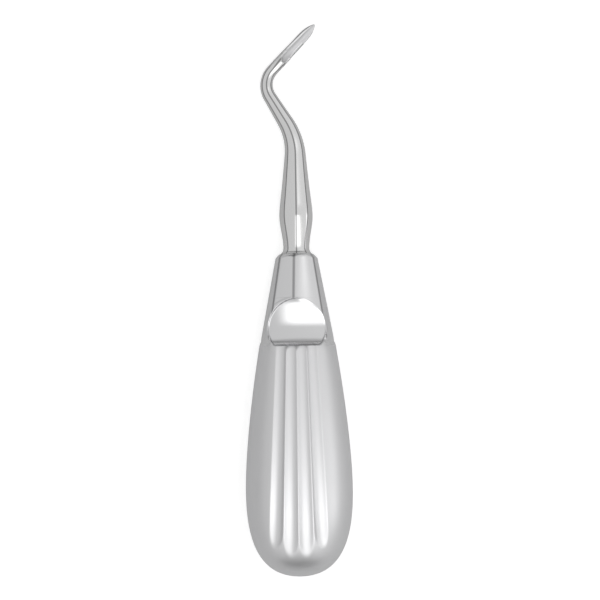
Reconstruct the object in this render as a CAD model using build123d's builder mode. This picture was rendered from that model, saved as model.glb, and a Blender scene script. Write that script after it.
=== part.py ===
from build123d import *
from math import atan2, cos, radians, sin, sqrt, tan
import os

# A root elevator: a pear-shaped steel handle with a thumb rest and four flutes on its front, and a
# slim eight-sided working end, bent twice and ending in a gouge, whose tang is fixed in the neck.
# Lengths are millimetres and angles are degrees. Both pieces are drawn with the handle's axis along
# +Y, from the butt at Y = 0 towards the tip, with +X to the right and the front of the handle up,
# along +Z. "Along" is the distance from the butt, "across" is the distance to the right of the axis.
# At the end the instrument is laid on its back, as it rests on a tray, with the origin on the tray
# under the middle of its box.

# Handle
handle_length = 84.6
handle_width = 28.0
handle_depth = 23.5
widest_along = 22.4
butt_fullness = 11.5
belly_fullness_to_butt = 11.5
belly_fullness_to_neck = 14.0
side_straightness = 4.0
back_flat_depth = 0.35
steepest_lean = 30.0
lean_accuracy = 0.001

# Neck: eight flats that taper to a domed top
neck_length = 21.8
neck_base_width = 19.6
neck_shoulder_width = 11.3
neck_top_width = 9.0
neck_dome_height = 1.2
neck_front_corner = -7.0
neck_side_corner = 53.0
neck_flat_runout = 2.2
neck_runout_opening = 1.05

# Thumb rest: a scoop across the front, with a bevelled ledge below and a slightly crowned floor
thumb_rest_past_neck_base = 3.9
thumb_rest_to_ledge = 6.6
thumb_rest_to_top = 7.2
thumb_rest_depth = 3.1
thumb_rest_bevel_length = 1.8
thumb_rest_bevel_drop = 1.0
thumb_rest_crown_radius = 27.0
thumb_rest_crown_shift = 1.5

# Flutes: shallow round grooves that fan out from the thumb rest to the butt
flute_count = 4
flute_pitch_at_thumb = 2.7
flute_pitch_at_butt = 4.1
flute_depth_at_thumb = 0.6
flute_depth_at_butt = 0.8
flute_overlap = 0.3
flute_band_shift = -0.3
flute_inner_end = 4.6
flute_outer_end = 7.0
flute_rise_from = 14.0
flute_section_shares = (0, 0.25, 0.5, 0.8, 1)

# Working end: the half widths of the shank and the bends of its route
foot_half_width = 3.47
foot_straight = 1.8
foot_flare = 0.9
foot_flare_length = 1.6
foot_flare_sharpness = 2.5
swell_half_width = 4.44
swell_height = 10.0
bend_1_height = 30.8
bend_1_radius = 17.5
bend_1_angle = 31.1
bend_2_distance = 16.95
bend_2_radius = 5.8
bend_2_angle = 74.7
bend_to_blade = 3.1
shank_front_corner = -5.0
shank_side_corner = 45.0

# How far apart the working end's sections stand, closer where its shape changes quickly
flare_spacing = 0.5
foot_spacing = 1.8
shank_spacing = 4.0
bend_spacing = 1.6
blade_spacing = 2.1
point_spacing = 0.8

# Joint between the working end and the handle
tang_diameter = 5.0
tang_length = 16.0
socket_clearance = 0.05
socket_bottom_gap = 0.5

# Blade: a gouge that faces the front, turned towards the inside of the bend
blade_length = 13.3
blade_half_width = 1.52
blade_half_width_at_point = 1.44
blade_back_depth = 1.0
blade_point_length = 4.8
blade_point_fullness = 2.2
blade_tip_half_width = 0.25
gouge_turn = 25.0
gouge_width = 2.9
gouge_depth = 0.6
gouge_floor = 0.15
gouge_tip_floor = 0.0
gouge_runout = 4.5

depth_ratio = handle_depth / handle_width
shoulder_along = handle_length - neck_dome_height
neck_base_along = shoulder_along - neck_length
thumb_rest_along = neck_base_along + thumb_rest_past_neck_base
ledge_along = thumb_rest_along - thumb_rest_to_ledge
scoop_top_along = thumb_rest_along + thumb_rest_to_top
outermost_flute = (flute_count - 1) / 2


def eight_corners(half_width, half_depth, front_corner, side_corner):
    """Corners of an eight-sided section, by their turn from the front towards the right."""
    back_corners = [90, 180 - side_corner, 180, 180 + side_corner, 270]
    turns = [front_corner, side_corner, *back_corners, 360 - side_corner]
    return [(half_width * sin(radians(turn)), half_depth * cos(radians(turn))) for turn in turns]


# The handle's half outline, from the butt over the belly to the neck's top
neck_slope = (neck_base_width - neck_shoulder_width) / 2 / neck_length
with BuildLine() as outline:
    butt_curve = Bezier(
        (0, 0),
        (butt_fullness, 0),
        (handle_width / 2, widest_along - belly_fullness_to_butt),
        (handle_width / 2, widest_along),
    )
    side_curve = Bezier(
        (handle_width / 2, widest_along),
        (handle_width / 2, widest_along + belly_fullness_to_neck),
        (neck_base_width / 2 + neck_slope * side_straightness, neck_base_along - side_straightness),
        (neck_base_width / 2, neck_base_along),
    )
    neck_line = Line(side_curve @ 1, (neck_shoulder_width / 2, shoulder_along))
    dome_line = Line(neck_line @ 1, (neck_top_width / 2, handle_length))
    top_line = Line(dome_line @ 1, (0, handle_length))
    axis_line = Line(top_line @ 1, (0, 0))


def half_width_at(along):
    """Half width of the handle, read off its outline by halving the curve that holds the place."""
    curve = next(curve for curve in (butt_curve, side_curve, neck_line) if along <= (curve @ 1).Y)
    low, high = 0.0, 1.0
    for _ in range(30):
        middle = (low + high) / 2
        if (curve @ middle).Y < along:
            low = middle
        else:
            high = middle
    return (curve @ low).X


def round_height_at(across, along):
    """Height of the front above the axis, while the handle is still round."""
    return sqrt(half_width_at(along) ** 2 - across**2)


def neck_section(along, half_width):
    """The neck's eight-sided section, as a sketch square to the handle."""
    with BuildSketch(Plane.XZ.offset(-along)) as section:
        Polygon(*eight_corners(half_width, half_width, neck_front_corner, neck_side_corner), align=None)
    return section.sketch


# What grinding the neck's flats takes off the round handle: a sleeve around an eight-sided taper,
# which opens quickly at its lower end so that the flats run out into the round body
runout_along = neck_base_along - neck_flat_runout
beyond_top = handle_length + neck_dome_height
widest_flat = radians(neck_side_corner - neck_front_corner)
runout_half_width = neck_runout_opening * half_width_at(runout_along) / cos(widest_flat / 2)
top_half_width = neck_shoulder_width / 2 - neck_slope * (beyond_top - shoulder_along)
with BuildPart() as flat_waste:
    with BuildSketch(Plane.XZ.offset(-runout_along)):
        Circle(handle_width)
    extrude(amount=runout_along - beyond_top)
    base_section = neck_section(neck_base_along, neck_base_width / 2)
    loft([neck_section(runout_along, runout_half_width), base_section], ruled=True, mode=Mode.SUBTRACT)
    loft([base_section, neck_section(beyond_top, top_half_width)], ruled=True, mode=Mode.SUBTRACT)


def flute_place(step, along):
    """How far across a flute runs, and its pitch and depth: straight fans from thumb rest to butt."""
    share = (along - flute_inner_end) / (ledge_along - flute_inner_end)
    pitch = flute_pitch_at_butt + (flute_pitch_at_thumb - flute_pitch_at_butt) * share
    depth = flute_depth_at_butt + (flute_depth_at_thumb - flute_depth_at_butt) * share
    return flute_band_shift + step * pitch, pitch, depth / depth_ratio


def flute_circle(step, along):
    """Centre and radius of the round cutter of one flute, while the handle is still round."""
    across, pitch, depth = flute_place(step, along)
    radius = ((pitch + flute_overlap) ** 2 / 4 + depth**2) / (2 * depth)
    if along >= flute_rise_from:
        height = round_height_at(across, along)
        floor = height - depth
    else:
        # Towards the butt the floor runs on straight until it leaves the surface
        end = flute_inner_end + (flute_outer_end - flute_inner_end) * (abs(step) / outermost_flute) ** 2
        end_height = round_height_at(flute_place(step, end)[0], end)
        across_there, _, depth_there = flute_place(step, flute_rise_from)
        height = round_height_at(across_there, flute_rise_from)
        floor = end_height + (height - depth_there - end_height) * (along - end) / (flute_rise_from - end)
    lean_out = atan2(across, height)
    return (across + radius * sin(lean_out), floor + radius * cos(lean_out)), radius


flute_cutters = []
flute_length = thumb_rest_along - flute_rise_from
flute_stations = [thumb_rest_along - flute_length * share for share in flute_section_shares]
flute_stations += [flute_inner_end, -flute_inner_end]
for flute in range(flute_count):
    with BuildPart() as flute_cutter:
        for along in flute_stations:
            centre, radius = flute_circle(flute - outermost_flute, along)
            with BuildSketch(Plane.XZ.offset(-along)):
                with Locations(centre):
                    Circle(radius)
        loft()
    flute_cutters.append(flute_cutter)

# What the thumb rest takes off, while the handle is still round: a side view of two quarter ovals
# that meet at the deepest place, carried across on a large circle, so that the floor is crowned
floor_height = round_height_at(0, thumb_rest_along) - thumb_rest_depth / depth_ratio
ledge_height = round_height_at(0, ledge_along)
wall_height = ledge_height - thumb_rest_bevel_drop / depth_ratio
wall_along = ledge_along + thumb_rest_bevel_length
top_height = round_height_at(0, scoop_top_along)
wall_radii = (thumb_rest_along - wall_along, wall_height - floor_height)
slope_radii = (thumb_rest_to_top, top_height - floor_height)
crown_axis_height = floor_height - thumb_rest_crown_radius * depth_ratio
with BuildPart() as thumb_cutter:
    with BuildSketch(Plane.YZ.offset(thumb_rest_crown_shift)):
        with BuildLine():
            wall = EllipticalCenterArc((thumb_rest_along, wall_height), *wall_radii, 180, arc_size=90)
            slope = EllipticalCenterArc((thumb_rest_along, top_height), *slope_radii, 270, arc_size=90)
            Polyline(
                slope @ 1,
                (scoop_top_along, handle_width),
                (ledge_along, handle_width),
                (ledge_along, ledge_height),
                wall @ 0,
            )
        make_face()
    revolve(axis=Axis((thumb_rest_crown_shift, 0, crown_axis_height), (0, 1, 0)))

# The handle is drawn round, with all that is ground off it, and is then pressed to its depth
with BuildPart() as handle_drawn:
    with BuildSketch():
        with BuildLine():
            add(outline)
        make_face()
    revolve(axis=Axis.Y)
    add(flat_waste, mode=Mode.SUBTRACT, clean=False)
    add(flute_cutters, mode=Mode.SUBTRACT, clean=False)
    add(thumb_cutter, mode=Mode.SUBTRACT, clean=False)
    scale(by=(1, 1, depth_ratio))
    with BuildSketch(Plane.XZ.offset(-handle_length)):
        Circle(tang_diameter / 2 + socket_clearance)
    extrude(amount=tang_length + socket_bottom_gap, mode=Mode.SUBTRACT)

# The route of the shank's centre, from the joint through both bends to the tip
corner_1 = Vector(0, handle_length + bend_1_height)
leg_1 = Vector(-sin(radians(bend_1_angle)), cos(radians(bend_1_angle)))
leg_2 = Vector(sin(radians(bend_2_angle - bend_1_angle)), cos(radians(bend_2_angle - bend_1_angle)))
corner_2 = corner_1 + leg_1 * bend_2_distance
bend_2_run = bend_2_radius * tan(radians(bend_2_angle / 2))
tip = corner_2 + leg_2 * (bend_2_run + bend_to_blade + blade_length)
with BuildLine() as route:
    FilletPolyline((0, handle_length), corner_1, corner_2, tip, radius=[bend_1_radius, bend_2_radius])
route_wire = route.wires()[0]
route_length = route_wire.length
bend_1_start = bend_1_height - bend_1_radius * tan(radians(bend_1_angle / 2))
blade_start = route_length - blade_length
point_start = route_length - blade_point_length


def route_plane(distance):
    """The plane square to the route at a distance from the joint, with the front up."""
    heading = route_wire % (distance / route_length)
    return Plane(route_wire @ (distance / route_length), x_dir=(heading.Y, -heading.X, 0), z_dir=-heading)


def shank_half_width(distance):
    """Half width of the shank: flared and straight at the foot, swelling, then thinning to the blade."""
    if distance < swell_height:
        flare = foot_flare * max(0, 1 - distance / foot_flare_length) ** foot_flare_sharpness
        share = max(0, distance - foot_straight) / (swell_height - foot_straight)
        swelling = (swell_half_width - foot_half_width) * share**2 * (3 - 2 * share)
        return foot_half_width + flare + swelling
    share = (distance - swell_height) / (blade_start - swell_height)
    return blade_half_width + (swell_half_width - blade_half_width) * (1 - share) ** 2


def shank_flatness(distance):
    """Depth over width: the neck's oval at the foot, round from the swell on."""
    return 1 - (1 - depth_ratio) * max(0, 1 - distance / swell_height)


def blade_half_sizes(distance):
    """Half width and half depth of the blade, which thins towards its pointed tip."""
    share = min(1, (distance - blade_start) / (point_start - blade_start))
    width = blade_half_width + (blade_half_width_at_point - blade_half_width) * share
    depth = blade_half_width + (blade_back_depth - blade_half_width) * share
    left = min(1, (route_length - distance) / blade_point_length)
    fullness = 1 - (1 - left) ** blade_point_fullness
    tip_width = blade_tip_half_width + (width - blade_tip_half_width) * fullness
    return tip_width, depth * tip_width / width


def shank_section(distance, half_width, half_depth):
    """An eight-sided section of the working end, as a sketch square to its route."""
    with BuildSketch(route_plane(distance)) as section:
        Polygon(*eight_corners(half_width, half_depth, shank_front_corner, shank_side_corner), align=None)
    return section.sketch


def stations(start, end, spacing):
    """Evenly spaced distances after start, up to end, about a spacing apart."""
    steps = max(1, round((end - start) / spacing))
    return [start + (end - start) * step / steps for step in range(1, steps + 1)]


shank_stations = [0, *stations(0, foot_flare_length, flare_spacing)]
shank_stations += stations(foot_flare_length, swell_height, foot_spacing)
shank_stations += stations(swell_height, bend_1_start, shank_spacing)
shank_stations += stations(bend_1_start, blade_start, bend_spacing)
blade_stations = stations(blade_start, point_start, blade_spacing)
blade_stations += stations(point_start, route_length, point_spacing)
shank_sections = [
    shank_section(distance, half_width, half_width * shank_flatness(distance))
    for distance, half_width in zip(shank_stations, map(shank_half_width, shank_stations))
]
blade_sections = [shank_section(distance, *blade_half_sizes(distance)) for distance in blade_stations]

# The wheel that grinds the gouge: a cutter with a long round nose, lying along the blade
base = route_plane(blade_start)
gouge_radius = (gouge_width**2 / 4 + gouge_depth**2) / (2 * gouge_depth)
to_wheel = base.x_dir * sin(radians(gouge_turn)) + base.y_dir * cos(radians(gouge_turn))
wheel_start = base.origin + to_wheel * (gouge_radius - gouge_floor)
wheel_end = tip + to_wheel * (gouge_radius - gouge_tip_floor)
along_wheel = (wheel_end - wheel_start).normalized()
with BuildPart() as gouge_wheel:
    with BuildSketch(Plane(wheel_start, x_dir=along_wheel, z_dir=along_wheel.cross(to_wheel))):
        with BuildLine():
            nose = EllipticalCenterArc((gouge_runout, 0), gouge_runout, gouge_radius, 90, arc_size=90)
            Polyline(nose @ 0, (2 * blade_length, gouge_radius), (2 * blade_length, 0), nose @ 1)
        make_face()
    revolve(axis=Axis(wheel_start, along_wheel))

with BuildPart() as working_end_drawn:
    loft(shank_sections + blade_sections)
    with BuildSketch(route_plane(0)):
        Circle(tang_diameter / 2)
    extrude(amount=tang_length)
    add(gouge_wheel, mode=Mode.SUBTRACT)


def leaned_box(piece, lean):
    """Box of a drawn piece once the tip is leaned down by an angle."""
    return (Rot(X=-lean) * piece.part).bounding_box()


# On its back the instrument touches the tray with its belly and its working end. The belly has a
# slight flat there, so that it doesn't roll. The flat and the working end are equally low at a lean
# between level and one that is surely too steep.
level, steep = 0.0, steepest_lean
while steep - level > lean_accuracy:
    lean = (level + steep) / 2
    flat_height = leaned_box(handle_drawn, lean).min.Z + back_flat_depth
    if leaned_box(working_end_drawn, lean).min.Z > flat_height:
        level = lean
    else:
        steep = lean

box = leaned_box(handle_drawn, lean).add(leaned_box(working_end_drawn, lean))
tray = Plane(
    origin=(-box.center().X, -box.center().Y, -flat_height),
    x_dir=(1, 0, 0),
    z_dir=(0, sin(radians(lean)), cos(radians(lean))),
)
with BuildPart(tray) as handle:
    add(handle_drawn)
    with BuildSketch(Plane.XY):
        Rectangle(2 * handle_length, 2 * handle_length)
    extrude(amount=-handle_depth, mode=Mode.SUBTRACT, clean=False)
with BuildPart(tray) as working_end:
    add(working_end_drawn)

handle.part.label = "handle"
working_end.part.label = "working_end"
os.makedirs("parts", exist_ok=True)
export_step(handle.part, "parts/handle.step")
export_step(working_end.part, "parts/working_end.step")
overall = handle.part.bounding_box().add(working_end.part.bounding_box())
print("lies with its tip leaned down by", round(lean, 2), "degrees; overall size", overall.size)
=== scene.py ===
# %% [markdown]
# A root elevator is a dentist's hand tool. A pear-shaped steel handle fills the palm, the thumb lies in
# a scoop on its neck, and a slim shank, bent twice, carries a small gouge that lifts a root.
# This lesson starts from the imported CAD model. It fixes where everything is and how large it may be,
# so the bounds are kept now and compared with the finished looks at the end.

# %% The CAD frame
from math import cos, pi, radians, sin, tan

import bpy
import numpy as np
from mathutils import Matrix, Vector


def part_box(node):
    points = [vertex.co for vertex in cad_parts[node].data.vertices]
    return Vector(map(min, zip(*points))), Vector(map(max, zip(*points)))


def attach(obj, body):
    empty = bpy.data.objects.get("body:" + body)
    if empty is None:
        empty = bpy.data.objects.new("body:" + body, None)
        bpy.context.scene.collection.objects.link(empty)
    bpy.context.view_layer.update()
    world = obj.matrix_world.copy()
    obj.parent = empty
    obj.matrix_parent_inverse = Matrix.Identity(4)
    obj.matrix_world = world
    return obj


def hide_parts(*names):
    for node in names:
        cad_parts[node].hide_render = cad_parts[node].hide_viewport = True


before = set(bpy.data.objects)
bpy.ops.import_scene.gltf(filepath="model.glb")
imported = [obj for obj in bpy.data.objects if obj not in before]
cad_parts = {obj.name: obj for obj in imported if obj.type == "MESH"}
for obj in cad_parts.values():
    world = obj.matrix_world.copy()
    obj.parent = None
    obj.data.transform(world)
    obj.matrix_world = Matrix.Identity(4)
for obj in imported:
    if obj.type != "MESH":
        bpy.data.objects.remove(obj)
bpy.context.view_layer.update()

# %% [markdown]
# The sizes are in millimetres, as a maker would write them. Both pieces are first drawn with the
# handle's axis along Y, the butt at Y = 0 and the front up. "Along" is the distance from the butt,
# "across" the distance to the right. The handle is drawn round, and is pressed to an oval at the end,
# because round sections keep every rule about flats and flutes simple.

# %% Sizes of the handle
MM = 0.001
handle_length, handle_width, handle_depth = 84.6, 28.0, 23.5
pressed = handle_depth / handle_width
widest_along = 22.4
neck_length, neck_base_width, neck_shoulder_width = 21.8, 19.6, 11.3
neck_top_width, neck_dome_height = 9.0, 1.2
shoulder_along = handle_length - neck_dome_height
neck_base_along = shoulder_along - neck_length
neck_slope = (neck_base_width - neck_shoulder_width) / 2 / neck_length


def bezier(corners, count):
    """Points of a cubic curve, from its four control points."""
    share = np.linspace(0, 1, count)[:, None]
    left = 1 - share
    a, b, c, d = np.array(corners, float)
    return left**3 * a + 3 * share * left**2 * b + 3 * share**2 * left * c + share**3 * d


# How far each curve's control points lie from its ends, which makes it fuller or slimmer
butt_pull, side_pull, neck_pull = 11.5, 14.0, 4.0
half_width = handle_width / 2
widest_point, neck_base_point = (half_width, widest_along), (neck_base_width / 2, neck_base_along)
butt_curve = [(0, 0), (butt_pull, 0), (half_width, widest_along - butt_pull), widest_point]
neck_control = (neck_base_width / 2 + neck_slope * neck_pull, neck_base_along - neck_pull)
side_curve = [widest_point, (half_width, widest_along + side_pull), neck_control, neck_base_point]
neck_points = [(neck_shoulder_width / 2, shoulder_along), (neck_top_width / 2, handle_length)]
outline = np.vstack([bezier(butt_curve, 400), bezier(side_curve, 400)[1:], neck_points])


def radius_at(along):
    """Half width of the round handle at a distance from the butt."""
    return np.interp(along, outline[:, 1], outline[:, 0])


print("the outline has", len(outline), "points and is widest at", outline[outline[:, 0].argmax()].round(2))

# %% [markdown]
# Every flat, flute and scoop takes steel off a round blank. Seen from the axis, a cut is simply the
# nearest surface in each direction, so the smallest distance wins. It is the same for heights where the
# scoop is cut from above. A soft minimum rounds the edge where two cuts meet, as polishing does, and
# those rounded edges are what catches the light on real steel.

# %% The soft minimum
NEVER_MET = 1000.0


def soft_min(a, b, softness):
    """The smaller of two distances, rounded off where they are nearly equal."""
    near = np.clip(softness - np.abs(a - b), 0, None) / softness
    return np.minimum(a, b) - near**3 * softness / 6


def smooth(share):
    """A share from 0 to 1 that starts and ends gently."""
    return share**2 * (3 - 2 * share)


def distance_to_flat(turn, corner_1, corner_2):
    """Distance from the middle, in the directions turn, to the line through two corners."""
    (x1, z1), (x2, z2) = corner_1, corner_2
    normal_x, normal_z = z1 - z2, x2 - x1
    facing = normal_x * np.sin(turn) + normal_z * np.cos(turn)
    height = normal_x * x1 + normal_z * z1
    return np.where(facing > 1e-6, height / np.where(facing > 1e-6, facing, 1), NEVER_MET)


print("a soft minimum of 2.0 and 2.1 over 0.3 is", round(float(soft_min(2.0, 2.1, 0.3)), 4))

# %% [markdown]
# The neck is an eight-sided taper. Its flats end in the round body because the taper opens quickly at
# its lower end. One corner is at the front, turned 7 degrees to the left, one is at the back, and three
# lie along each side. Flats that are buffed by hand end up slightly crowned, which is why a reflection
# lies along their middle and fades towards their corners.

# %% Flats of the neck
neck_turns = np.radians([-7, 53, 90, 127, 180, 233, 270, 307, 353])
neck_crown = 0.22
# Where the flats run out, even the widest, 60 degrees from corner to corner, clears the round body
runout_along, runout_clearance = neck_base_along - 2.2, 1.05
runout_radius = runout_clearance * radius_at(runout_along) / cos(radians(60 / 2))


def neck_radius(along):
    """Distance of the neck's corners from the axis."""
    taper = neck_base_width / 2 - neck_slope * (along - neck_base_along)
    opening = (neck_base_along - along) / (neck_base_along - runout_along)
    opened = neck_base_width / 2 + (runout_radius - neck_base_width / 2) * opening
    return np.where(along >= neck_base_along, taper, opened)


def crown_share(turn, first, second):
    """How far a flat stands out between two corners: 1 in its middle, 0 at the corners."""
    aside = np.abs((turn - (first + second) / 2 + pi) % (2 * pi) - pi) / ((second - first) / 2)
    return 1 - np.clip(aside, 0, 1) ** 2


def cut_flats(radius, along, turn, softness):
    """Radius of the handle after the eight flats are ground."""
    corner = neck_radius(along)
    for first, second in zip(neck_turns[:-1], neck_turns[1:]):
        corners = [(corner * sin(t), corner * cos(t)) for t in (first, second)]
        flat = distance_to_flat(turn, *corners) + neck_crown * crown_share(turn, first, second)
        radius = soft_min(radius, flat, softness)
    return radius


print("the flats run from", round(runout_along, 1), "to", shoulder_along, "mm along")

# %% [markdown]
# The thumb rest is a scoop with a steep, bevelled ledge towards the flutes. In side view it is two quarter
# ovals that meet at the deepest place, the one at the ledge a little fuller than a true oval and the one
# towards the tip a little flatter. Carried across the neck on a large circle, they give the floor a slight
# crown, so that it is a little brighter on its right than on its left.

# %% Thumb rest
deepest_along, to_ledge, to_top, scoop_depth = neck_base_along + 3.9, 6.9, 7.2, 3.1
bevel_length, bevel_drop = 1.3, 0.8
crown_radius, crown_shift = 27.0, 1.5
# A power of 0.5 draws a true quarter oval, less a fuller one and more a flatter one
ledge_power, slope_power, exit_steepness = 0.45, 0.58, 8.0
ledge_along, scoop_top_along = deepest_along - to_ledge, deepest_along + to_top
floor_height = radius_at(deepest_along) - scoop_depth / pressed
ledge_height, top_height = radius_at(ledge_along), radius_at(scoop_top_along)
wall_along, wall_height = ledge_along + bevel_length, ledge_height - bevel_drop / pressed


def scoop_height(along):
    """Height of the scoop's floor above the axis, on the middle of the front."""
    down = np.clip((deepest_along - along) / (deepest_along - wall_along), 0, 1)
    up = np.clip((along - deepest_along) / to_top, 0, 1)
    ledge = wall_height - (wall_height - floor_height) * (1 - down**2) ** ledge_power
    slope = top_height - (top_height - floor_height) * (1 - up**2) ** slope_power
    floor = np.where(along > deepest_along, slope, ledge)
    bevelled = wall_height + (wall_along - along) * bevel_drop / bevel_length / pressed
    floor = np.where(along < wall_along, bevelled, floor)
    return np.where(along > scoop_top_along, top_height + (along - scoop_top_along) * exit_steepness, floor)


def crowned_height(along, across):
    """Height of the scoop's floor, carried across the neck on the large circle."""
    centre_height = floor_height - crown_radius * pressed
    reach = scoop_height(along) - centre_height
    return centre_height + np.sqrt(reach**2 - (across - crown_shift) ** 2)


print("the scoop runs from", round(ledge_along, 1), "to", round(scoop_top_along, 1), "mm along")

# %% [markdown]
# The blank is a grid of rings and columns. Rings lie close together where the shape changes fast: at the
# butt, at the flutes' ends and in the scoop. The front's columns follow the fan of the flutes, so that
# the ridges between them run along the mesh and stay smooth. Both ends close in one point.

# %% Grid of the handle
flute_inner_end, flute_pitch_at_butt, flute_pitch_at_thumb, flute_shift = 4.6, 4.1, 2.7, -0.3
# The fan reaches 2.2 flutes to each side of the middle
front_columns, front_reach, back_columns = 150, 2.2, 150
butt_rings = 10 * (1 - np.cos(np.linspace(0.06, pi / 2, 46)))
arc = np.linspace(0, pi / 2, 42)
wall_rings = deepest_along - (deepest_along - wall_along) * np.cos(arc)
slope_rings = deepest_along + to_top * np.sin(arc)
# Each range below is given by its first place, its end and the spacing of its rings
rings = np.concatenate([
    butt_rings,
    np.arange(10.4, ledge_along - 2.4, 0.55),
    np.arange(ledge_along - 2.4, ledge_along - 0.2, 0.2),
    np.arange(ledge_along - 0.2, wall_along, 0.1),
    wall_rings[:-1],
    slope_rings,
    np.arange(scoop_top_along + 0.08, scoop_top_along + 0.5, 0.1),
    np.arange(scoop_top_along + 0.8, shoulder_along - 0.3, 0.6),
    shoulder_along + np.array([-0.2, -0.12, -0.05, 0.02, 0.1, 0.2]),
    np.arange(shoulder_along + 0.4, handle_length - 0.25, 0.2),
    handle_length - np.array([0.16, 0.09, 0.04, 0.01, 0.0]),
])


def fan_turns(along):
    """Turns of the front's columns at one ring, which follow the flutes below the scoop."""
    place = np.clip(along, flute_inner_end, ledge_along)
    share = (place - flute_inner_end) / (ledge_along - flute_inner_end)
    pitch = flute_pitch_at_butt + (flute_pitch_at_thumb - flute_pitch_at_butt) * share
    # Above the flutes the fan opens by 1 mm a flute, so that it also takes in the rim of the scoop
    pitch = pitch + np.interp(along, [ledge_along + 1.5, ledge_along + 3.5], [0, 1])
    steps = np.linspace(-front_reach, front_reach, front_columns)
    return np.arcsin(np.clip((flute_shift + steps * pitch) / radius_at(place), -0.95, 0.95))


def ring_turns(along):
    """Turns of all columns at one ring: the fan on the front, then evenly round the back."""
    front = fan_turns(along)
    back = np.linspace(front[-1], front[0] + 2 * pi, back_columns + 2)[1:-1]
    return np.concatenate([front, back])


turn_grid = np.array([ring_turns(along) for along in rings])
along_grid = np.repeat(rings[:, None], turn_grid.shape[1], axis=1)
print("the handle's grid has", along_grid.shape[0], "rings and", along_grid.shape[1], "columns")

# %% [markdown]
# The blank's radius is the outline, cut by the flats. Seen from the front the scoop is round, so the
# points inside a circle are lowered straight down to its floor, which keeps its side walls upright. A
# mesh is made from the grid with a quad between each pair of rings and columns.

# %% The blank
def closed_tube(name, points, material):
    """A mesh of rings of points, closed at both ends by a fan round the ring's middle."""
    ring_count, column_count = points.shape[:2]
    ends = [points[0].mean(0), points[-1].mean(0)]
    vertices = np.concatenate([points.reshape(-1, 3), ends]) * MM
    faces = []
    for ring in range(ring_count - 1):
        for column in range(column_count):
            beside = (column + 1) % column_count
            low, high = ring * column_count, (ring + 1) * column_count
            faces.append((low + column, low + beside, high + beside, high + column))
    first, last = len(vertices) - 2, len(vertices) - 1
    top = (ring_count - 1) * column_count
    for column in range(column_count):
        beside = (column + 1) % column_count
        faces.append((first, beside, column))
        faces.append((last, top + column, top + beside))
    mesh = bpy.data.meshes.new(name)
    mesh.from_pydata(vertices.tolist(), [], faces)
    mesh.materials.append(material)
    mesh.polygons.foreach_set("use_smooth", [True] * len(mesh.polygons))
    piece = bpy.data.objects.new(name, mesh)
    bpy.context.scene.collection.objects.link(piece)
    return piece


def set_tube(points_across, points_along, points_up):
    """Stacks three grids of coordinates into one grid of points."""
    return np.stack([points_across, points_along, points_up], axis=-1)


def keep_values(piece, name, values):
    """Keeps a number with each vertex of a tube, for node trees to read."""
    both_ends = [values[0].mean(), values[-1].mean()]
    attribute = piece.data.attributes.new(name, "FLOAT", "POINT")
    attribute.data.foreach_set("value", np.append(values.ravel(), both_ends).astype(np.float32))


# The flats run out softly into the round body
flat_softness = np.interp(along_grid, [runout_along, neck_base_along + 1], [1.7, 0.5])
flat_radius = cut_flats(radius_at(along_grid), along_grid, turn_grid, flat_softness)
flat_across, flat_up = flat_radius * np.sin(turn_grid), flat_radius * np.cos(turn_grid)
scoop_grid = np.where(along_grid > ledge_along - 1, crowned_height(along_grid, flat_across), NEVER_MET)
# The scoop's rim is rounded more towards the tip, where the buffing wheel ran out
rim_softness = np.interp(along_grid, [deepest_along + 3, deepest_along + 7], [0.3, 1.2])
scooped_up = soft_min(flat_up, scoop_grid, rim_softness)
# The scoop's side walls go down over a narrow band just inside its circle
circle_along, circle_across, circle_radius, wall_width = 64.8, -0.1, 7.75, 0.45
half_chord = np.sqrt(np.clip(circle_radius**2 - (along_grid - circle_along) ** 2, 0, None))
from_circle = half_chord - np.abs(flat_across - circle_across)
inside = np.where(np.cos(turn_grid) > 0, np.clip(from_circle / wall_width, 0, 1), 0)
blank_up = flat_up - (flat_up - scooped_up) * smooth(inside)
blank_radius, turn_grid = np.hypot(flat_across, blank_up), np.arctan2(flat_across, blank_up)
# The rim of the neck's flat top is broken by a small round
top_round = 0.25
in_round = np.clip(1 - (handle_length - along_grid) / top_round, 0, 1)
blank_radius = blank_radius - top_round * (1 - np.sqrt(1 - in_round**2))
print("blank radii in mm:", round(float(blank_radius.min()), 2), "to", round(float(blank_radius.max()), 2))

# %% [markdown]
# All node trees, for shapes and for materials, are built with the same small function. It adds one
# node, sets its options, and links or fills its inputs by name or number. The nodes that come up most
# have a short function each, which returns their result. Colours are written as the hex values that a
# picture editor shows, and one function turns them into Blender's linear light.

# %% Helpers for nodes and colours
def add(tree, kind, options=None, inputs=None):
    """Adds a node with its options, and links or fills its inputs. Returns the node."""
    node = tree.nodes.new(kind)
    for name, value in (options or {}).items():
        setattr(node, name, value)
    for key, value in (inputs or {}).items():
        if isinstance(value, bpy.types.NodeSocket):
            tree.links.new(value, node.inputs[key])
        else:
            node.inputs[key].default_value = value
    return node


def linear(hex_colour):
    """The linear colour of an sRGB hex value."""
    channels = [int(hex_colour[i:i + 2], 16) / 255 for i in (1, 3, 5)]
    return [c / 12.92 if c <= 0.04045 else ((c + 0.055) / 1.055) ** 2.4 for c in channels] + [1.0]


def bare_material(name):
    """A new material, and its tree with all nodes taken out."""
    material = bpy.data.materials.new(name)
    material.use_nodes = True
    material.node_tree.nodes.clear()
    return material, material.node_tree


def mapped(tree, value, from_min, from_max, to_min=0.0, to_max=1.0, curve="SMOOTHSTEP"):
    """Maps a value from one range to another, gently at both ends unless the curve says otherwise."""
    return add(tree, "ShaderNodeMapRange", {"interpolation_type": curve}, {
        "Value": value, "From Min": from_min, "From Max": from_max,
        "To Min": to_min, "To Max": to_max}).outputs[0]


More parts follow.
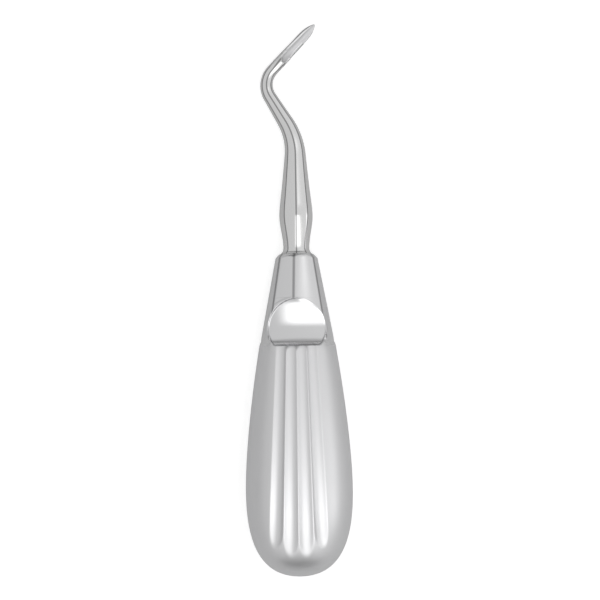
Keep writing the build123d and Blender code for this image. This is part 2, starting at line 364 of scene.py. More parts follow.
def blend(tree, kind, factor, a, b):
    """A mix of two numbers (FLOAT) or of two colours (RGBA)."""
    node = add(tree, "ShaderNodeMix", {"data_type": kind}, {"Factor": factor, "A": a, "B": b})
    return node.outputs[2 if kind == "RGBA" else 0]


def calculate(tree, operation, *terms):
    """The result of one Math node."""
    return add(tree, "ShaderNodeMath", {"operation": operation}, dict(enumerate(terms))).outputs[0]


def noise(tree, place, size, detail):
    """Noise whose grains have a size in millimetres."""
    inputs = {"Vector": place, "Scale": 1 / (size * MM), "Detail": detail}
    return add(tree, "ShaderNodeTexNoise", {}, inputs).outputs["Fac"]


def kept_value(tree, name):
    """A number that a mesh keeps with each vertex."""
    return add(tree, "ShaderNodeAttribute", {"attribute_name": name}).outputs["Fac"]


def finish_steel(tree, colour, rough, height, strength, depth):
    """Ends a tree in bare metal, with a relief of some strength and a depth in millimetres."""
    relief = add(tree, "ShaderNodeBump", {},
                 {"Height": height, "Strength": strength, "Distance": depth * MM})
    steel = add(tree, "ShaderNodeBsdfPrincipled", {}, {
        "Base Color": colour, "Metallic": 1.0, "Roughness": rough, "Normal": relief.outputs[0]})
    add(tree, "ShaderNodeOutputMaterial", {}, {"Surface": steel.outputs[0]})


print("mid grey #808080 is", round(linear("#808080")[0], 3), "in linear light")

# %% [markdown]
# The handle is stainless steel. Its body is glass-bead blasted to a soft satin, which blurs what it
# reflects, while the neck and the thumb rest are buffed almost to a mirror. One material covers both: the
# roughness falls along the handle, and the fine scratches of the buffing wheel run across the neck. It
# could be two materials, but then a hard line would part them, which the real steel doesn't have.

# %% Satin steel of the handle
satin, tree = bare_material("stainless_satin")
spot = add(tree, "ShaderNodeTexCoord").outputs["Object"]
along_axis = add(tree, "ShaderNodeSeparateXYZ", {}, {0: spot}).outputs["Y"]
# The buffing starts 14 mm before the middle of the instrument and is complete 10 mm before it
neck_share = mapped(tree, along_axis, -14 * MM, -10 * MM)
# Blasting leaves pits of about 0.1 mm, drawn at 0.35 mm so that they show at all
pits = noise(tree, spot, 0.35, 2.0)
# The finish varies softly over about 9 mm, as hand work does
cloud = noise(tree, spot, 9, 3.0)
# Buffing lines lie across the neck, about 0.05 mm apart and drawn at 0.12 mm
stretched = add(tree, "ShaderNodeMapping", {}, {"Vector": spot, "Scale": (0.04, 1.0, 0.04)})
buffing = noise(tree, stretched.outputs[0], 0.12, 2.0)
body_rough = mapped(tree, cloud, 0.3, 0.7, 0.40, 0.45, "LINEAR")
neck_rough = mapped(tree, cloud, 0.3, 0.7, 0.13, 0.17, "LINEAR")
rough = blend(tree, "FLOAT", neck_share, body_rough, neck_rough)
grain = blend(tree, "FLOAT", neck_share, pits, buffing)
# Painted shade: a thin dark line is painted along each ground corner and, fainter, along the scoop's rim
line = mapped(tree, kept_value(tree, "painted_shade_gap"), 0.10, 0.55, 0.60, 0.0)
# Painted shade along the scoop's rim, on both sides of it
rim_shade_distance = calculate(tree, "ABSOLUTE", kept_value(tree, "rim_shade_gap"))
line = calculate(tree, "MAXIMUM", line, mapped(tree, rim_shade_distance, 0.05, 0.40, 0.18, 0.0))
colour = blend(tree, "RGBA", line, linear("#D9D9DA"), linear("#606061"))
finish_steel(tree, colour, rough, grain, strength=0.06, depth=0.02)
print("satin steel has", len(tree.nodes), "nodes")

# %% [markdown]
# The shank and blade are hardened stainless steel, ground and then polished lengthwise, which is why
# they show sharp, bright and dark stripes along their flats. The polishing lines could come from a
# picture, but noise stretched along the shank needs no file and never repeats.

# %% Polished steel of the working end
polished, tree = bare_material("stainless_polished")
spot = add(tree, "ShaderNodeTexCoord").outputs["Object"]
# Polishing lines run along the shank, about 0.03 mm apart and drawn at 0.1 mm
stretched = add(tree, "ShaderNodeMapping", {}, {"Vector": spot, "Scale": (1.0, 0.05, 1.0)})
lines = noise(tree, stretched.outputs[0], 0.1, 2.0)
# The polish varies softly over about 4 mm
shine = mapped(tree, noise(tree, spot, 4, 3.0), 0.3, 0.7, 0.13, 0.19, "LINEAR")
# The gouge is only blasted, so that it doesn't dazzle over the root
hollow_part = kept_value(tree, "in_gouge")
rough = blend(tree, "FLOAT", hollow_part, shine, 0.48)
# Painted shade: the dark lines painted along the bar's corners are darker and narrower than the handle's
line = mapped(tree, kept_value(tree, "painted_shade_gap"), 0.05, 0.30, 0.70, 0.0)
colour = blend(tree, "RGBA", line, linear("#DCDCDC"), linear("#505051"))
colour = blend(tree, "RGBA", hollow_part, colour, linear("#C0C0C1"))
finish_steel(tree, colour, rough, lines, strength=0.05, depth=0.01)
print("polished steel has", len(tree.nodes), "nodes")

# %% [markdown]
# The four flutes repeat one rule, so Geometry Nodes grind them. A repeat zone runs once for each flute.
# It works out how far across the flute lies at each point of the blank, sets a round cutter there, and
# draws the point in to where the line from the axis meets the cutter. Towards the butt the cutter lifts
# off the surface, which gives each flute its rounded end. Every tree here takes a geometry, named sizes
# and a material, and ends by making instances real, so one function opens a tree and one closes it.

# %% The tree that grinds the flutes
def open_tree(name, sizes):
    """A tree of Geometry Nodes with its inputs, by kind and name. Returns the tree and its inputs."""
    tree = bpy.data.node_groups.new(name, "GeometryNodeTree")
    for kind, names in (("Geometry", ["Geometry"]), *sizes, ("Material", ["Material"])):
        for socket in names:
            tree.interface.new_socket(socket, in_out="INPUT", socket_type="NodeSocket" + kind)
    tree.interface.new_socket("Geometry", in_out="OUTPUT", socket_type="NodeSocketGeometry")
    return tree, add(tree, "NodeGroupInput").outputs


def close_tree(tree, geometry, material):
    """Makes the geometry real, gives it its material and sends it out of the tree."""
    realized = add(tree, "GeometryNodeRealizeInstances", {}, {"Geometry": geometry})
    steel = add(tree, "GeometryNodeSetMaterial", {}, {"Geometry": realized.outputs[0], "Material": material})
    add(tree, "NodeGroupOutput", {}, {"Geometry": steel.outputs[0]})


flute_sizes = {
    "Pitch at butt": flute_pitch_at_butt, "Pitch at thumb": flute_pitch_at_thumb, "Shift": flute_shift,
    "Depth at butt": 0.8 / pressed, "Depth at thumb": 0.6 / pressed, "Overlap": 0.3, "Softness": 0.5,
    "Inner end": flute_inner_end, "Outer end": 7.0, "Rise from": 14.0, "Ledge": ledge_along,
}
flutes, size = open_tree("Grind flutes", [("Int", ["Count"]), ("Float", flute_sizes)])
begin = flutes.nodes.new("GeometryNodeRepeatInput")
end = flutes.nodes.new("GeometryNodeRepeatOutput")
begin.pair_with_output(end)
flutes.links.new(size["Count"], begin.inputs["Iterations"])
flutes.links.new(size["Geometry"], begin.inputs["Geometry"])
position = add(flutes, "GeometryNodeInputPosition")
point = add(flutes, "ShaderNodeSeparateXYZ", {}, {0: position.outputs[0]}).outputs
blank = add(flutes, "GeometryNodeInputNamedAttribute", {"data_type": "FLOAT"}, {"Name": "body_radius"})
value = {name: size[name] for name in ["Count", *flute_sizes]}
value.update(X=point["X"], Y=point["Y"], Z=point["Z"])
value.update(blank=blank.outputs["Attribute"], turn=begin.outputs["Iteration"])
print("the tree takes", len(flutes.interface.items_tree), "inputs and outputs")

# %% [markdown]
# The sums of the tree are written as a table. Each row names a result, its sum, and what goes into it:
# an input, a number, or the name of an earlier row. The first rows find the flute's place: its step from
# the middle of the four, the pitch and the depth at this distance from the butt, and how far its cutter
# has lifted.

# %% Place, pitch and depth of one flute
place_rows = [
    ("last flute", "SUBTRACT", "Count", 1.0),
    ("outermost", "MULTIPLY", "last flute", 0.5),
    ("step", "SUBTRACT", "turn", "outermost"),
    ("span", "SUBTRACT", "Ledge", "Inner end"),
    ("beyond end", "SUBTRACT", "Y", "Inner end"),
    ("share", "DIVIDE", "beyond end", "span"),
    ("pitch change", "SUBTRACT", "Pitch at thumb", "Pitch at butt"),
    ("pitch", "MULTIPLY_ADD", "pitch change", "share", "Pitch at butt"),
    ("depth change", "SUBTRACT", "Depth at thumb", "Depth at butt"),
    ("full depth", "MULTIPLY_ADD", "depth change", "share", "Depth at butt"),
    ("across", "MULTIPLY_ADD", "step", "pitch", "Shift"),
    ("outwards", "DIVIDE", "step", "outermost"),
    ("outwards squared", "MULTIPLY", "outwards", "outwards"),
    ("end change", "SUBTRACT", "Outer end", "Inner end"),
    ("flute end", "MULTIPLY_ADD", "end change", "outwards squared", "Inner end"),
    ("rise so far", "SUBTRACT", "Rise from", "Y"),
    ("rise length", "SUBTRACT", "Rise from", "flute end"),
    ("risen", "DIVIDE", "rise so far", "rise length"),
    ("risen at last", "MAXIMUM", "risen", 0.0),
    ("lift", "POWER", "risen at last", 4.0),
    ("depth left", "SUBTRACT", 1.0, "lift"),
    ("depth", "MULTIPLY", "full depth", "depth left"),
]
ends = [flute_sizes["Inner end"], flute_sizes["Outer end"]]
print(len(place_rows), "rows; the inner and outer flutes end", ends, "mm from the butt")

# %% [markdown]
# Then the round cutter. Its radius follows from the pitch and the depth, as that of a circle follows
# from a chord and its height, and its centre stands out from the surface in line with the axis. The last
# rows find where the line from the axis meets the cutter, and whether it does so on the front. A loop
# turns every row of both tables into one Math node, with the row's name as its label.

# %% The round cutter, and the point drawn in to it
cutter_rows = [
    ("chord", "ADD", "pitch", "Overlap"),
    ("half chord", "MULTIPLY", "chord", 0.5),
    ("half chord squared", "MULTIPLY", "half chord", "half chord"),
    ("chord and depth", "MULTIPLY_ADD", "full depth", "full depth", "half chord squared"),
    ("double depth", "MULTIPLY", "full depth", 2.0),
    ("cutter", "DIVIDE", "chord and depth", "double depth"),
    ("blank squared", "MULTIPLY", "blank", "blank"),
    ("across squared", "MULTIPLY", "across", "across"),
    ("height squared", "SUBTRACT", "blank squared", "across squared"),
    ("height squared at least", "MAXIMUM", "height squared", 0.01),
    ("height", "SQRT", "height squared at least"),
    ("stand off", "SUBTRACT", "cutter", "depth"),
    ("lean across", "DIVIDE", "across", "blank"),
    ("centre x", "MULTIPLY_ADD", "stand off", "lean across", "across"),
    ("lean up", "DIVIDE", "height", "blank"),
    ("centre z", "MULTIPLY_ADD", "stand off", "lean up", "height"),
    ("x squared", "MULTIPLY", "X", "X"),
    ("point squared", "MULTIPLY_ADD", "Z", "Z", "x squared"),
    ("point radius", "SQRT", "point squared"),
    ("radius", "MAXIMUM", "point radius", 0.001),
    ("x part", "MULTIPLY", "X", "centre x"),
    ("both parts", "MULTIPLY_ADD", "Z", "centre z", "x part"),
    ("towards", "DIVIDE", "both parts", "radius"),
    ("centre x squared", "MULTIPLY", "centre x", "centre x"),
    ("centre squared", "MULTIPLY_ADD", "centre z", "centre z", "centre x squared"),
    ("towards squared", "MULTIPLY", "towards", "towards"),
    ("miss squared", "SUBTRACT", "centre squared", "towards squared"),
    ("cutter squared", "MULTIPLY", "cutter", "cutter"),
    ("bite squared", "SUBTRACT", "cutter squared", "miss squared"),
    ("bite squared at least", "MAXIMUM", "bite squared", 0.0),
    ("bite", "SQRT", "bite squared at least"),
    ("hit", "SUBTRACT", "towards", "bite"),
    ("meets", "GREATER_THAN", "bite squared", 0.0),
    ("ahead", "GREATER_THAN", "towards", 0.0),
    ("cutter's limit", "ADD", "Ledge", 1.5),
    ("below ledge", "LESS_THAN", "Y", "cutter's limit"),
    ("in front", "MULTIPLY", "meets", "ahead"),
    ("cuts", "MULTIPLY", "in front", "below ledge"),
    ("ground", "SMOOTH_MIN", "radius", "hit", "Softness"),
]
for name, operation, *terms in place_rows + cutter_rows:
    inputs = {slot: value.get(term, term) for slot, term in enumerate(terms)}
    value[name] = add(flutes, "ShaderNodeMath", {"operation": operation, "label": name}, inputs).outputs[0]
drawn_in = blend(flutes, "FLOAT", value["cuts"], value["radius"], value["ground"])
ratio = calculate(flutes, "DIVIDE", drawn_in, value["radius"])
scale = add(flutes, "ShaderNodeCombineXYZ", {}, {"X": ratio, "Y": 1.0, "Z": ratio})
moved = add(flutes, "ShaderNodeVectorMath", {"operation": "MULTIPLY"},
            {0: position.outputs[0], 1: scale.outputs[0]})
reshaped = add(flutes, "GeometryNodeSetPosition", {},
               {"Geometry": begin.outputs["Geometry"], "Position": moved.outputs[0]})
flutes.links.new(reshaped.outputs["Geometry"], end.inputs["Geometry"])
close_tree(flutes, end.outputs["Geometry"], size["Material"])
print("the tree that grinds the flutes has", len(flutes.nodes), "nodes")

# %% [markdown]
# A Geometry Nodes modifier runs the tree on the blank. Its inputs are set by their identifiers before it
# is evaluated, the result is copied into a plain mesh, and the modifier is dropped. The tree works in
# millimetres, so the blank is made at that size and brought to metres afterwards.

# %% Running a tree and keeping its mesh
def keep_result(piece, tree, values):
    """Runs a tree of Geometry Nodes on a piece and makes the result its own mesh."""
    modifier = piece.modifiers.new("shape", "NODES")
    modifier.node_group = tree
    for item in tree.interface.items_tree:
        if item.in_out == "INPUT" and item.name in values:
            modifier[item.identifier] = values[item.name]
    evaluated = piece.evaluated_get(bpy.context.evaluated_depsgraph_get())
    mesh = bpy.data.meshes.new_from_object(evaluated)
    piece.modifiers.remove(modifier)
    old, piece.data = piece.data, mesh
    bpy.data.meshes.remove(old)
    mesh.name = piece.name
    mesh.polygons.foreach_set("use_smooth", [True] * len(mesh.polygons))


def points_of(piece):
    """The piece's vertices as an array."""
    points = np.zeros(len(piece.data.vertices) * 3)
    piece.data.vertices.foreach_get("co", points)
    return points.reshape(-1, 3)


def set_points(piece, points):
    """Puts the piece's vertices at the rows of an array."""
    piece.data.vertices.foreach_set("co", points.astype(np.float32).ravel())
    piece.data.update()


blank_points = set_tube(blank_radius * np.sin(turn_grid), along_grid, blank_radius * np.cos(turn_grid))
handle = closed_tube("handle_steel", blank_points, satin)
set_points(handle, points_of(handle) / MM)
keep_values(handle, "body_radius", radius_at(along_grid))
keep_result(handle, flutes, {"Count": 4, "Material": satin, **flute_sizes})
print("the handle has", len(handle.data.polygons), "faces")

# %% [markdown]
# A thin dark line is painted along each ground corner and the scoop's rim. It is painted shade that stands
# in for the dark reflections such edges catch, and such lines draw the edges of ground steel. The satin
# steel paints them from two numbers that each vertex keeps: its distance to the nearest corner of the neck,
# and its distance to the scoop's rim, which is negative outside. The rim is where the flats and the scoop
# are equally high, and the difference of their heights, divided by how fast it changes, is the distance to
# it.

# %% Painted shade lines on the handle
NO_PAINTED_SHADE = 9.0
from_corners = [np.abs((turn_grid - turn + pi) % (2 * pi) - pi) for turn in neck_turns[:-1]]
# The painted shade lines fade where the flats run out, because their distance grows there
flats_ended = np.clip(neck_base_along + 1 - along_grid, 0, None)
painted_shade_gap = blank_radius * np.min(from_corners, axis=0) + 0.4 * flats_ended
# Outside the scoop the difference is held at 3 mm, so that no false rim appears where the scoop ends
difference = np.clip(flat_up - scoop_grid, -3, None)
slope_along = np.gradient(difference, rings, axis=0)
steps_around = np.hypot(np.gradient(flat_across, axis=1), np.gradient(flat_up, axis=1))
slope_around = np.gradient(difference, axis=1) / steps_around
least_slope = 0.05
rim_shade_gap = difference / np.hypot(np.hypot(slope_along, slope_around), least_slope)
painted_shade_gap = np.where((difference < 0) | (inside == 0), painted_shade_gap, NO_PAINTED_SHADE)
# The ends of the ridges between the flutes get a painted shade too, weaker than a corner's line.
# It reaches a little past both ends of the bevel, but not out to the ridges' far sides
unshaded_gap, ridge_shade_gap, ridge_height = 0.55, 0.32, 0.35
past_bevel, fade, outermost = 0.6, 0.5, 1.95 * flute_pitch_at_thumb
ground_points = points_of(handle)[:-2].reshape(*blank_radius.shape, 3)
flute_depth = blank_radius - np.hypot(ground_points[..., 0], ground_points[..., 2])
on_ridge = 1 - np.clip(flute_depth / ridge_height, 0, 1)
past_ledge = np.clip((along_grid - ledge_along + past_bevel) / fade, 0, 1)
before_wall = np.clip((wall_along + past_bevel - along_grid) / fade, 0, 1)
from_middle = np.abs(ground_points[..., 0] - flute_shift)
between_flutes = np.clip((outermost - from_middle) / fade, 0, 1) * (np.cos(turn_grid) > 0)
ridge_end_shade = on_ridge * past_ledge * before_wall * between_flutes
painted_shade_gap = np.minimum(painted_shade_gap, unshaded_gap - (unshaded_gap - ridge_shade_gap) * ridge_end_shade)
# The handle keeps this distance, which places its painted shade lines
keep_values(handle, "painted_shade_gap", painted_shade_gap)
# The rim gets no painted shade beside the ledge
keep_values(handle, "rim_shade_gap", np.where(along_grid > deepest_along - 2, rim_shade_gap, NO_PAINTED_SHADE))
# Points that get the painted shade line along the neck's corners
print("points on a dull line of the neck:", int((painted_shade_gap < 0.2).sum()))

# %% [markdown]
# The working end is made as a smith would: straight first, bent afterwards. Its straight bar has an
# eight-sided section, which swells above the foot and thins to the blade. A round-nosed cutter then hollows
# the blade into a gouge, turned a little towards the inside of the bend.

# %% Sizes of the working end
foot_half_width, foot_straight, foot_flare, foot_flare_length = 3.47, 1.8, 0.9, 1.6
swell_half_width, swell_height = 4.44, 10.0
bend_1_height, bend_1_radius, bend_1_angle = 30.8, 17.5, radians(31.1)
bend_2_distance, bend_2_radius, bend_2_angle = 16.95, 5.8, radians(74.7)
bend_to_blade, blade_length, blade_half_width = 3.1, 13.3, 1.52
blade_half_width_at_point, blade_back_depth, blade_point_length, blade_tip_half_width = 1.44, 1.0, 4.8, 0.25
run_1, run_2 = bend_1_radius * tan(bend_1_angle / 2), bend_2_radius * tan(bend_2_angle / 2)
leg_1 = np.array([-sin(bend_1_angle), cos(bend_1_angle), 0])
leg_2 = np.array([sin(bend_2_angle - bend_1_angle), cos(bend_2_angle - bend_1_angle), 0])
corner_1 = np.array([0, bend_1_height, 0])
corner_2 = corner_1 + leg_1 * bend_2_distance
tip = corner_2 + leg_2 * (run_2 + bend_to_blade + blade_length)
arcs = bend_1_radius * bend_1_angle + bend_2_radius * bend_2_angle
route_length = bend_1_height - run_1 + arcs + bend_2_distance - run_1 - run_2 + bend_to_blade + blade_length
blade_start, point_start = route_length - blade_length, route_length - blade_point_length
print("the route is", round(route_length, 2), "mm long and the blade starts at", round(blade_start, 2))

# %% [markdown]
# One function gives the bar's half width and half depth at each distance from the joint. It follows the
# bar from the flared foot over the swell and down the long thinning part to the blade and its point.

# %% Half sizes along the bar
def bar_half_sizes(distance):
    """Half width and half depth of the bar before the gouge is cut."""
    flare = foot_flare * np.clip(1 - distance / foot_flare_length, 0, 1) ** 2.5
    share = np.clip((distance - foot_straight) / (swell_height - foot_straight), 0, 1)
    low = foot_half_width + flare + (swell_half_width - foot_half_width) * smooth(share)
    # The thinning starts gently over the first 3 mm past the swell, as grinding leaves it
    gentle = 3.0
    past = np.clip(distance - swell_height, 0, None)
    past = np.where(past < gentle, past**2 / (2 * gentle), past - gentle / 2)
    left = np.clip(1 - past / (blade_start - swell_height), 0, 1)
    high = blade_half_width + (swell_half_width - blade_half_width) * left**2
    width = np.where(distance < swell_height, low, high)
    depth = width * (1 - (1 - pressed) * np.clip(1 - distance / swell_height, 0, 1))
    share = np.clip((distance - blade_start) / (point_start - blade_start), 0, 1)
    blade_width = blade_half_width + (blade_half_width_at_point - blade_half_width) * share
    blade_depth = blade_half_width + (blade_back_depth - blade_half_width) * share
    left = np.clip((route_length - distance) / blade_point_length, 0, 1)
    tip_width = blade_tip_half_width + (blade_width - blade_tip_half_width) * (1 - (1 - left) ** 2.2)
    # The last quarter millimetre is rounded, where a worn point isn't sharp
    rounding = np.clip((route_length - distance) / blade_tip_half_width, 0, 1)
    tip_width = tip_width * np.sqrt(np.clip(1 - (1 - rounding) ** 2, 0.005, 1))
    on_blade = distance >= blade_start
    width = np.where(on_blade, tip_width, width)
    return width, np.where(on_blade, blade_depth * tip_width / blade_width, depth)


print("half sizes at the swell:", [round(float(v), 2) for v in bar_half_sizes(np.array(swell_height))])

# %% [markdown]
# The bar is a grid as well. Its columns crowd towards the eight corners, which keeps the flats flat and
# the corners crisp, and the middle of each ring moves behind the gouge, so that a line from it meets the
# hollow first.

# %% The straight bar
bar_turns = np.radians([1, 45, 90, 135, 180, 225, 270, 315, 361])
bar_crown, bar_softness, widest_softness = 0.017, 0.11, 0.5
foot_round, behind_reach = 0.15, 3.0
column_shares = np.array([0, 0.03, 0.07, 0.13, 0.25, 0.5, 0.75, 0.87, 0.93, 0.97])
columns = np.concatenate([a + (b - a) * column_shares for a, b in zip(bar_turns[:-1], bar_turns[1:])])
gouge_turn, gouge_width, gouge_depth, gouge_floor, gouge_runout = radians(25), 2.9, 0.6, 0.15, 4.5
gouge_radius = (gouge_width**2 / 4 + gouge_depth**2) / (2 * gouge_depth)
bar_rings = np.concatenate([
    [0, 0.04, 0.12, 0.22],
    np.arange(0.35, 2.2, 0.15),
    np.arange(2.3, blade_start - 0.4, 0.3),
    np.arange(blade_start - 0.4, point_start, 0.14),
    np.arange(point_start, route_length - 0.3, 0.1),
    route_length - 0.25 * np.cos(np.linspace(0, pi / 2, 9)),
])
distance_grid = np.repeat(bar_rings[:, None], len(columns), axis=1)
column_grid = np.repeat(columns[None, :], len(bar_rings), axis=0)
half_widths, half_depths = bar_half_sizes(distance_grid)
past_start = distance_grid - blade_start
floor_behind = gouge_floor * np.clip(1 - past_start / blade_length, 0, 1)
behind = (floor_behind + half_depths) / 2 * np.clip((past_start + behind_reach) / behind_reach, 0, 1)
middle_x, middle_z = -behind * sin(gouge_turn), -behind * cos(gouge_turn)
# The foot's lower edge is broken by a small round, which shows as the dark line at the joint
in_round = np.clip(1 - distance_grid / foot_round, 0, 1)
bar_radius = np.full(distance_grid.shape, NEVER_MET)
for first, second in zip(bar_turns[:-1], bar_turns[1:]):
    corners = [(half_widths * sin(t) - middle_x, half_depths * cos(t) - middle_z) for t in (first, second)]
    crown = bar_crown * half_widths * crown_share(column_grid, first, second)
    flat = distance_to_flat(column_grid, *corners) + crown
    bar_radius = soft_min(bar_radius, flat, np.minimum(bar_softness * half_widths, widest_softness))
bar_radius = bar_radius - foot_round * (1 - np.sqrt(1 - in_round**2))
print("the bar's grid has", distance_grid.shape[0], "rings and", distance_grid.shape[1], "columns")

# %% [markdown]
# The gouge's cutter lies along the blade with a long round nose. Where a line from the ring's middle
# meets the cutter before the flats, the hollow wins.

# %% The gouge
nose = np.clip((gouge_runout - past_start) / gouge_runout, 0, 1)
cutter_radius = gouge_radius * np.sqrt(1 - nose**2)
centre_x = (gouge_radius - floor_behind) * sin(gouge_turn) - middle_x
centre_z = (gouge_radius - floor_behind) * cos(gouge_turn) - middle_z
ahead = centre_x * np.sin(column_grid) + centre_z * np.cos(column_grid)
bite = ahead**2 - centre_x**2 - centre_z**2 + cutter_radius**2
hollow = ahead - np.sqrt(np.clip(bite, 0, None))
cut_here = (bite > 0) & (ahead > 0) & (past_start > 0)
# The blasted finish starts over the gouge's first 0.12 mm of depth, and its edge is softly rounded
in_gouge = np.where(cut_here, np.clip((bar_radius - hollow) / 0.12, 0, 1), 0)
edge_softness = np.minimum(0.2, half_widths * 0.3)
bar_radius = np.where(cut_here, soft_min(bar_radius, hollow, edge_softness), bar_radius)
bar_across = middle_x + bar_radius * np.sin(column_grid)
bar_up = middle_z + bar_radius * np.cos(column_grid)
working_end = closed_tube("working_end_steel", set_tube(bar_across, distance_grid, bar_up), polished)
# How far each point is from the nearest corner of the bar, where the painted shade lines go, and whether it
# lies in the gouge
edge_angles = np.repeat(np.diff(bar_turns), len(column_shares))
nearest = np.tile(np.minimum(column_shares, 1 - column_shares), len(edge_angles) // len(column_shares))
bar_shade_gap = 2 * half_widths * np.sin(edge_angles / 2) * nearest
keep_values(working_end, "painted_shade_gap", np.where(in_gouge > 0, NO_PAINTED_SHADE, bar_shade_gap))
keep_values(working_end, "in_gouge", in_gouge)
print("the gouge is", round(float(gouge_radius), 2), "mm in radius and", blade_length, "mm long")

# %% [markdown]
# Geometry Nodes bend the bar. The route is a line of four points whose two inner corners are rounded with
# Fillet Curve. Each point of the bar looks up the place and the direction of the route at its own distance
# and moves there, square to the route. This is what Blender's Curve modifier does, but with the
# corners and radii as named inputs.

# %% The tree that bends the bar
route_points, route_radii = ("Corner 1", "Corner 2", "Tip"), ("Radius 1", "Radius 2")
bending, size = open_tree("Bend along route", [("Vector", route_points), ("Float", route_radii)])
line = add(bending, "GeometryNodeCurvePrimitiveLine")
four = add(bending, "GeometryNodeResampleCurve", {}, {"Curve": line.outputs[0], "Count": 4})
index = add(bending, "GeometryNodeInputIndex").outputs[0]
corner = add(bending, "GeometryNodeIndexSwitch", {"data_type": "VECTOR"})
turn_radius = add(bending, "GeometryNodeIndexSwitch", {"data_type": "FLOAT"})
for switch in (corner, turn_radius):
    switch.index_switch_items.new()
    switch.index_switch_items.new()
    bending.links.new(index, switch.inputs["Index"])
for item, name in enumerate(route_points, start=1):
    bending.links.new(size[name], corner.inputs[item + 1])
for item, name in enumerate(route_radii, start=1):
    bending.links.new(size[name], turn_radius.inputs[item + 1])
angular = add(bending, "GeometryNodeSetPosition", {},
              {"Geometry": four.outputs[0], "Position": corner.outputs[0]})
route = add(bending, "GeometryNodeFilletCurve", {"mode": "POLY"},
            {"Curve": angular.outputs[0], "Count": 40, "Radius": turn_radius.outputs[0]})
position = add(bending, "GeometryNodeInputPosition")
point = add(bending, "ShaderNodeSeparateXYZ", {}, {0: position.outputs[0]}).outputs
sample = add(bending, "GeometryNodeSampleCurve", {"mode": "LENGTH", "use_all_curves": True},
             {"Curves": route.outputs[0], "Length": point["Y"]})
heading = add(bending, "ShaderNodeSeparateXYZ", {}, {0: sample.outputs["Tangent"]}).outputs
backwards = calculate(bending, "MULTIPLY", heading["X"], -1.0)
sideways = add(bending, "ShaderNodeCombineXYZ", {}, {"X": heading["Y"], "Y": backwards})
out = add(bending, "ShaderNodeVectorMath", {"operation": "SCALE"},
          {0: sideways.outputs[0], "Scale": point["X"]})
up = add(bending, "ShaderNodeCombineXYZ", {}, {"Z": point["Z"]})
offset = add(bending, "ShaderNodeVectorMath", {"operation": "ADD"}, {0: out.outputs[0], 1: up.outputs[0]})
target = add(bending, "ShaderNodeVectorMath", {"operation": "ADD"},
             {0: sample.outputs["Position"], 1: offset.outputs[0]})
bent = add(bending, "GeometryNodeSetPosition", {},
           {"Geometry": size["Geometry"], "Position": target.outputs[0]})
close_tree(bending, bent.outputs[0], size["Material"])
keep_result(working_end, bending, {
    "Corner 1": (corner_1 * MM).tolist(), "Corner 2": (corner_2 * MM).tolist(), "Tip": (tip * MM).tolist(),
    "Radius 1": bend_1_radius * MM, "Radius 2": bend_2_radius * MM, "Material": polished})
print("the working end has", len(working_end.data.polygons), "faces")

# %% [markdown]
# On its back, the instrument touches the tray with its belly and its tip, so its axis leans. The handle
# is pressed to its depth, both pieces are leaned, and both move by what the CAD box of the handle asks.

# %% Laying the instrument down
lean = radians(5.29)
rotation = np.array([[1, 0, 0], [0, cos(lean), sin(lean)], [0, -sin(lean), cos(lean)]])
handle_points = points_of(handle) * MM * [1, 1, pressed] @ rotation.T
end_points = (points_of(working_end) + [0, handle_length * MM, 0]) @ rotation.T
cad_corners = [np.array(corner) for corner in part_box("handle")]
shift = (cad_corners[0] + cad_corners[1]) / 2 - (handle_points.min(0) + handle_points.max(0)) / 2
# The top of both boxes is the same, while the flat is missing from the bottom of the CAD's
shift[2] = cad_corners[1][2] - handle_points[:, 2].max()
handle_points = handle_points + shift
# The slight flat on the back is where the handle meets the tray
handle_points[:, 2] = np.maximum(handle_points[:, 2], 0)
set_points(handle, handle_points)
set_points(working_end, end_points + shift)
pieces = [(handle, "handle", "handle_steel"), (working_end, "working_end", "working_end_steel")]
for piece, node, slot in pieces:
    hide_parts(node)
    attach(piece, "root")
    cad = [np.array(corner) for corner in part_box(node)]
    past_low = (points_of(piece).min(0) - cad[0]) / MM
    past_high = (points_of(piece).max(0) - cad[1]) / MM
    print(piece.name, "low and high against CAD, mm:", past_low.round(2), past_high.round(2))

# %% [markdown]
# The floor is plain white paper. The lamps leave it as grey as paper is in a dim studio, so the steel has
# something darker to mirror at its sides, and Light Path lifts it to white for the camera alone. The
# soft shadow stays.

# %% Floor
floor_size, camera_lift = 12.0, 0.60
bpy.ops.mesh.primitive_plane_add(size=floor_size, location=(0, 0, 0))
floor = bpy.context.object
floor.name = "paper_floor"
paper, tree = bare_material("white_paper")
path = add(tree, "ShaderNodeLightPath")
lift = calculate(tree, "MULTIPLY", path.outputs["Is Camera Ray"], camera_lift)
sheet = add(tree, "ShaderNodeBsdfPrincipled", {}, {
    "Base Color": linear("#CCCCCC"), "Roughness": 0.9,
    "Emission Color": linear("#FFFFFF"), "Emission Strength": lift})
add(tree, "ShaderNodeOutputMaterial", {}, {"Surface": sheet.outputs[0]})
floor.data.materials.append(paper)
print("the floor is", floor_size, "m wide")

# %% [markdown]
# A light tent gives even grey light from all round. It darkens towards the floor, more on the left, and
# its two ends, beyond the butt and beyond the tip, are in shade. Polished steel has no colour of its
# own, so these darker parts are what draws the rims of the handle and the edge of the thumb rest.

# %% Light tent
world = bpy.data.worlds.new("light_tent")
bpy.context.scene.world = world
world.use_nodes = True
tree = world.node_tree
tree.nodes.clear()
path = add(tree, "ShaderNodeLightPath")
look = add(tree, "ShaderNodeTexCoord")
towards = add(tree, "ShaderNodeSeparateXYZ", {}, {0: look.outputs["Generated"]})
at_floor, overhead, right_gain, darkest = 0.53, 0.80, 0.07, 0.1
level = mapped(tree, towards.outputs["Z"], 0.0, 0.3, at_floor, overhead)
level = calculate(tree, "MULTIPLY_ADD", towards.outputs["X"], right_gain, level)
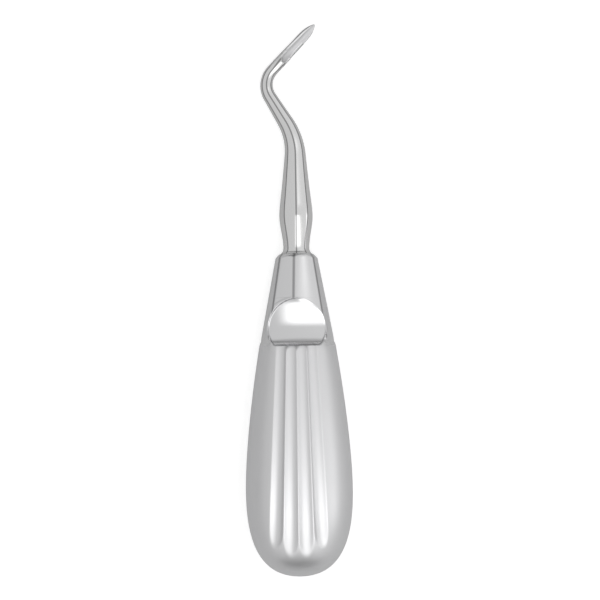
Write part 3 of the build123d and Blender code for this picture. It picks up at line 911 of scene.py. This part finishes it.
# Each end's shade: where along Y it begins and is full, and how it changes the light
for begins, full, change in ((-0.76, -0.92, -0.65), (0.80, 0.95, -0.30)):
    level = calculate(tree, "ADD", level, mapped(tree, towards.outputs["Y"], begins, full, 0, change))
level = calculate(tree, "MAXIMUM", level, darkest)
tent = add(tree, "ShaderNodeBackground", {}, {"Color": linear("#FFFFFF"), "Strength": level})
behind = add(tree, "ShaderNodeBackground", {}, {"Color": linear("#FFFFFF"), "Strength": 1.0})
mix = add(tree, "ShaderNodeMixShader", {},
          {0: path.outputs["Is Camera Ray"], 1: tent.outputs[0], 2: behind.outputs[0]})
add(tree, "ShaderNodeOutputWorld", {}, {"Surface": mix.outputs[0]})
print("the tent has", len(tree.nodes), "nodes")

# %% [markdown]
# Three soft boxes hang in the tent. Steel shows a soft box wherever its surface turns that way: the wide
# one overhead whitens the thumb rest and the flutes, a low one draws the band along the handle's right, and
# a small one lights the neck. Each cloth glows evenly and fades towards its four edges, so the
# reflections have soft borders.

# %% Soft boxes
def soft_box(name, location, target, width, length, radiance, fades):
    """A glowing cloth that faces a target. It fades over shares of its size: left, right, butt and tip."""
    bpy.ops.mesh.primitive_plane_add(size=1)
    cloth = bpy.context.object
    cloth.name = name
    away = (Vector(location) - Vector(target)).normalized()
    right = Vector((0, 1, 0)).cross(away).normalized()
    axes = Matrix((right, away.cross(right), away)).transposed().to_4x4()
    cloth.matrix_world = Matrix.Translation(location) @ axes @ Matrix.Diagonal((width, length, 1, 1))
    cloth.visible_camera = False
    glow, tree = bare_material(name)
    place = add(tree, "ShaderNodeTexCoord")
    parts = add(tree, "ShaderNodeSeparateXYZ", {}, {0: place.outputs["Object"]})
    share = 1.0
    for axis, edge, fade in zip("XXYY", (-0.5, 0.5, -0.5, 0.5), fades):
        ramp = mapped(tree, parts.outputs[axis], edge, edge - np.sign(edge) * fade)
        share = calculate(tree, "MULTIPLY", share, ramp)
    clear = add(tree, "ShaderNodeBsdfTransparent")
    light = add(tree, "ShaderNodeEmission", {}, {"Color": linear("#FFFFFF"), "Strength": radiance})
    cloth_mix = add(tree, "ShaderNodeMixShader", {}, {0: share, 1: clear.outputs[0], 2: light.outputs[0]})
    add(tree, "ShaderNodeOutputMaterial", {}, {"Surface": cloth_mix.outputs[0]})
    cloth.data.materials.append(glow)


soft_box("soft_box_overhead", location=(0.0575, -0.154, 0.412), target=(0.0575, -0.154, 0),
         width=0.615, length=0.478, radiance=1.9, fades=(0.325, 0.065, 0.50, 0.157))
soft_box("soft_box_low", location=(0.47, -0.015, 0.19), target=(0, -0.05, 0.012),
         width=0.24, length=0.32, radiance=1.9, fades=(0.4, 0.4, 0.3, 0.3))
soft_box("soft_box_small", location=(0.295, 0.232, 0.350), target=(0, 0.005, 0.015),
         width=0.17, length=0.12, radiance=1.35, fades=(0.5, 0.5, 0.5, 0.5))

# %% [markdown]
# The photograph looks straight down with a long lens, and the instrument is turned by less than a degree.
# The lens follows from the width of the frame and the distance.

# %% Camera
frame_width, camera_height, axis_height = 0.1569, 4.0, 0.012
camera_data = bpy.data.cameras.new("camera")
camera_data.sensor_width = 36.0
camera_data.lens = camera_data.sensor_width * (camera_height - axis_height) / frame_width
camera_data.clip_start, camera_data.clip_end = 0.1, 100.0
camera = bpy.data.objects.new("camera", camera_data)
bpy.context.scene.collection.objects.link(camera)
camera.location = (0.00078, 0.0, camera_height)
camera.rotation_euler = (0, 0, radians(-0.72))
bpy.context.scene.camera = camera
bpy.context.scene.view_settings.view_transform = "Standard"
print("the lens is", round(camera_data.lens), "mm")
